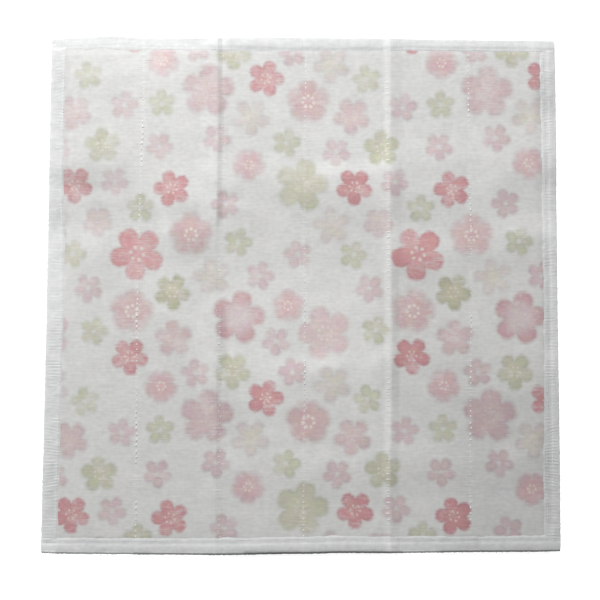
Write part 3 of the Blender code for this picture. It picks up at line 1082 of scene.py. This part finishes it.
def feed(node, inputs):
    """Gives a node's inputs, by name or number, numbers, colours, Values or other nodes' outputs."""
    for name, given in inputs.items():
        socket = node.inputs[name]
        if isinstance(given, Value):
            given = given.socket
        if isinstance(given, bpy.types.NodeSocket):
            socket.id_data.links.new(given, socket)
        elif socket.type == "RGBA":
            socket.default_value = (*given, 1.0)
        else:
            socket.default_value = given


def add_node(tree, kind, inputs, **settings):
    """A shader node of a kind, with its inputs and settings."""
    node = tree.nodes.new("ShaderNode" + kind)
    for name, setting in settings.items():
        setattr(node, name, setting)
    feed(node, inputs)
    return node


def calc(operation, *values):
    """A Math node on Values and numbers; gives its result."""
    tree = next(value.socket.id_data for value in values if isinstance(value, Value))
    return Value(add_node(tree, "Math", dict(enumerate(values)), operation=operation).outputs[0])


def soft_mask(value, low, high):
    """1 where a value is above high, 0 where it is below low, and a smooth rise between."""
    inputs = {"Value": value, "From Min": low, "From Max": high}
    node = add_node(value.socket.id_data, "MapRange", inputs, interpolation_type="SMOOTHSTEP")
    return Value(node.outputs["Result"])


def mixed(tree, factor, first, second, blend="MIX"):
    """Two colours mixed, each an output or three numbers."""
    inputs = {0: factor, 6: first, 7: second}
    return add_node(tree, "Mix", inputs, data_type="RGBA", blend_type=blend).outputs[2]


def split(vector):
    """The three numbers of a vector or colour output."""
    return [Value(output) for output in add_node(vector.id_data, "SeparateXYZ", {0: vector}).outputs]


def stored_number(tree, name):
    """The number stored under a name at each of the mesh's points."""
    return Value(add_node(tree, "Attribute", {}, attribute_name=name).outputs["Fac"])


def stored_place(tree, name):
    """The two numbers of the mesh's UV layer of a name."""
    return split(add_node(tree, "UVMap", {}, uv_map=name).outputs["UV"])[:2]


def patches(tree, row):
    """Soft random patches of a row's sizes, around 0 and about as wide as its weight."""
    scale = (1 / (row.across * MM), 1 / (row.along * MM), 1.0)
    place = add_node(tree, "TexCoord", {}).outputs["Object"]
    place = add_node(tree, "Mapping", {"Scale": scale, "Vector": place}).outputs["Vector"]
    noise = add_node(tree, "TexNoise", {"Scale": 1.0, "Detail": row.detail, "Vector": place})
    return (Value(noise.outputs["Fac"]) - 0.5) * (2.0 * row.weight)


def kind_values(kind, values):
    """Three numbers or a colour for each kind of blossom, as the steps of a ramp."""
    node = add_node(kind.socket.id_data, "ValToRGB", {"Fac": kind})
    ramp = node.color_ramp
    ramp.interpolation = "CONSTANT"
    ramp.elements[1].position = 1 / KIND_PLACES
    for number in range(2, len(values)):
        ramp.elements.new(number / KIND_PLACES)
    for element, value in zip(ramp.elements, values):
        element.color = (*value, 1.0)
    return node.outputs["Color"]


def fold_angle(angle, wedge):
    """An angle measured from the nearest multiple of a wedge, and that multiple's number."""
    number = calc("ROUND", angle / wedge)
    return angle - number * wedge, number


def from_polar(radius, angle):
    """How far out along an axis and to its side a point is, by its radius and angle from it."""
    return radius * calc("COSINE", angle), radius * calc("SINE", angle)


def petal_noise(tree, petal, label):
    """A node of random numbers that differ from petal to petal."""
    vector = add_node(tree, "CombineXYZ", {"X": petal, "Y": label}).outputs[0]
    return add_node(tree, "TexWhiteNoise", {"Vector": vector}, noise_dimensions="3D")


def bloom_ink(tree):
    """The print's ink, as what the cloth's white is multiplied by."""
    kind, label = stored_place(tree, "bloom_kind")
    x, y = stored_place(tree, "bloom_place")
    x = x + patches(tree, WEFT_BLEED)
    y = y + patches(tree, WARP_BLEED)
    shape = [(row.reach / REACH_SCALE, row.middle, row.half_width) for row in KIND_ROWS]
    edges = [(row.core + CORE_SHIFT, row.edge / EDGE_SCALE, row.line) for row in KIND_ROWS]
    dots = [(row.ring / RING_SCALE, row.dot_size / DOT_SCALE, row.dot_strength) for row in KIND_ROWS]
    counts = [(row.dots / COUNT_SCALE, 0.0, 0.0) for row in KIND_ROWS]
    reach, middle, half_width = split(kind_values(kind, shape))
    core, edge, line = split(kind_values(kind, edges))
    ring, dot_size, dot_strength = split(kind_values(kind, dots))
    count = split(kind_values(kind, counts))[0]
    tip = kind_values(kind, [[part / 100 for part in row.tip] for row in KIND_ROWS])
    heart = kind_values(kind, [[part / 100 for part in row.heart] for row in KIND_ROWS])
    reach = reach * REACH_SCALE
    edge = edge * EDGE_SCALE
    ring = ring * RING_SCALE
    dot_size = dot_size * DOT_SCALE
    count = calc("ROUND", count * COUNT_SCALE)

    radius = calc("SQRT", x * x + y * y)
    angle = calc("ARCTAN2", x, y)
    off_axis, petal = fold_angle(angle, 2 * math.pi / PETALS)
    outward, sideways = from_polar(radius, off_axis)
    middle_place = middle * reach
    petal_width = half_width * reach
    part_out = calc("ABSOLUTE", (outward - middle_place) / (reach - middle_place))
    part_side = calc("ABSOLUTE", sideways / petal_width)
    powers = calc("POWER", part_out, PETAL_SQUARENESS) + calc("POWER", part_side, PETAL_SQUARENESS)
    oval = calc("POWER", powers, 1 / PETAL_SQUARENESS)
    core_reach = (core - CORE_SHIFT) * reach
    depth = calc("MAXIMUM", (1.0 - oval) * petal_width, core_reach - radius)
    covered = soft_mask(depth, edge * -1.0, edge)

    noise = petal_noise(tree, petal, calc("ROUND", label))
    stain, grain, rows, wash = [patches(tree, row) for row in INK_PATCHES]
    petal_share = (Value(noise.outputs["Value"]) - 0.5) * PETAL_SPREAD
    strength = INK_MEAN + stain + grain + rows + wash + petal_share
    strength = strength * stored_number(tree, "print_strength") * covered
    ink = mixed(tree, soft_mask(radius / reach, *HEART_TO_TIP), heart, tip)
    greyness = split(noise.outputs["Color"])[0] * PETAL_SHADE_SHARE
    ink = mixed(tree, greyness, ink, PETAL_SHADE, "MULTIPLY")
    ink = mixed(tree, soft_mask(depth, *PETAL_RIM_DEPTHS), ink, PETAL_RIM, "MULTIPLY")
    hue = soft_mask(patches(tree, HUE_PATCHES), *HUE_RANGE)
    ink = mixed(tree, 1.0, ink, mixed(tree, hue, PETAL_ORANGE, PETAL_PINK), "MULTIPLY")
    inked = mixed(tree, strength, PURE_WHITE, ink)

    dot_angle = fold_angle(angle, 2 * math.pi / count)[0]
    dot_out, dot_side = from_polar(radius, dot_angle)
    from_ring = dot_out - ring
    dot_gap = dot_size - calc("SQRT", from_ring * from_ring + dot_side * dot_side)
    dot_mask = soft_mask(dot_gap, *DOT_EDGE) * dot_strength
    side_gap = LINE_HALF_WIDTH - calc("ABSOLUTE", dot_side)
    on_line = soft_mask(side_gap, *LINE_EDGE) * soft_mask(radius, *LINE_START)
    line_mask = on_line * calc("LESS_THAN", dot_out, ring) * line
    return mixed(tree, calc("MAXIMUM", dot_mask, line_mask), inked, DOT_CREAM)


def matte_material(name, roughness, gloss):
    """A rough material that reflects little, and its shader."""
    material = bpy.data.materials.new(name)
    material.use_nodes = True
    shader = material.node_tree.nodes["Principled BSDF"]
    feed(shader, {"Roughness": roughness, "Specular IOR Level": gloss})
    return material, shader


def gauze_material(name, white, ink_strength):
    """Matte cotton gauze of a given white, printed if ink_strength is above 0."""
    material, shader = matte_material(name, roughness=0.9, gloss=0.15)
    tree = material.node_tree
    weft, warp, fine = [patches(tree, row) for row in WEAVE_PATCHES]
    blotch, mottle = [patches(tree, row) for row in TONE_PATCHES]
    texture = (weft + warp + fine) * (stored_number(tree, "ripple") + 1.0)
    # The stored tone holds painted light and painted shade, added to the cloth's random tone
    tone_and_painted_shade = texture * WEAVE_CONTRAST + blotch + mottle + stored_number(tree, "tone_and_painted_shade")
    red = tone_and_painted_shade + patches(tree, RED_PATCHES)
    shade = add_node(tree, "CombineColor", {"Red": red, "Green": tone_and_painted_shade, "Blue": tone_and_painted_shade}).outputs[0]
    colour = mixed(tree, 1.0, white, shade, "MULTIPLY")
    if ink_strength:
        ink = mixed(tree, ink_strength, PURE_WHITE, bloom_ink(tree))
        colour = mixed(tree, 1.0, colour, ink, "MULTIPLY")
    inputs = {"Strength": WEAVE_BUMP_STRENGTH, "Distance": WEAVE_BUMP_HEIGHT, "Height": texture}
    normal = add_node(tree, "Bump", inputs).outputs["Normal"]
    feed(shader, {"Base Color": colour, "Normal": normal})
    return material


def thread_material():
    """Matte white cotton thread."""
    material, shader = matte_material("white_thread", roughness=0.8, gloss=0.2)
    feed(shader, {"Base Color": THREAD_WHITE})
    return material


def make_floor():
    """A pale floor just under the cloth, a little brighter than its light makes it."""
    half = FLOOR_SIZE / 2
    corners = ((-half, -half), (half, -half), (half, half), (-half, half))
    floor = linked_mesh("floor", [(x, y, -FLOOR_DROP) for x, y in corners], [(0, 1, 2, 3)])
    material, shader = matte_material("pale_floor", roughness=1.0, gloss=0.0)
    feed(shader, {"Base Color": FLOOR_COLOUR})
    feed(shader, {"Emission Color": PURE_WHITE, "Emission Strength": FLOOR_GLOW})
    floor.data.materials.append(material)


def make_lights():
    """One soft light from the upper left, and an even pale surround."""
    lamp = bpy.data.lights.new("soft_light", "AREA")
    lamp.shape = "DISK"
    lamp.size = LIGHT_SIZE
    lamp.energy = LIGHT_POWER
    light = placed("soft_light", lamp)
    light.location = LIGHT_PLACE
    light.rotation_euler = (-light.location).to_track_quat("-Z", "Y").to_euler()
    world = bpy.data.worlds.new("pale_surround")
    world.use_nodes = True
    feed(world.node_tree.nodes["Background"], {"Color": PURE_WHITE, "Strength": AMBIENT})
    bpy.context.scene.world = world


def make_camera():
    """The camera at the photo's angle, with its up along +Y."""
    lens = bpy.data.cameras.new("camera")
    lens.lens = CAMERA_LENS
    lens.sensor_width = CAMERA_SENSOR
    camera = placed("camera", lens)
    back = CAMERA_DISTANCE * math.sin(CAMERA_TILT)
    camera.location = (0.0, CAMERA_AIM_Y - back, CAMERA_DISTANCE * math.cos(CAMERA_TILT))
    camera.rotation_euler = (CAMERA_TILT, 0.0, 0.0)
    bpy.context.scene.camera = camera


make_camera()
make_lights()
make_floor()
bpy.context.scene.view_settings.view_transform = "Standard"

printed = gauze_material("printed_gauze", GAUZE_WHITE, ink_strength=1.0)
reverse = gauze_material("gauze_reverse", GAUZE_WHITE, ink_strength=REVERSE_INK)
hem_gauze = gauze_material("hem_gauze", HEM_WHITE, ink_strength=0.0)
# The hems' outer rim strips get a grey painted as the shadow line under the bottom edge
painted_shadow_gauze = gauze_material("hem_painted_shadow", PAINTED_SHADOW_GREY, ink_strength=0.0)
thread = thread_material()

cloth = make_sheet()
cloth.data.materials.append(printed)
cloth.data.materials.append(reverse)
hems = [make_hem(hem) for hem in HEMS]
for hem in hems:
    hem.data.materials.append(hem_gauze)
    hem.data.materials.append(painted_shadow_gauze)
threads = [make_tie_stitches(seed=51), make_hem_stitches(seed=52), make_loose_threads(seed=53)]
for piece in threads:
    piece.data.materials.append(thread)

for piece in [cloth] + hems:
    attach(piece, "root")
for piece in threads:
    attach(piece, "root")
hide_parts("towel")
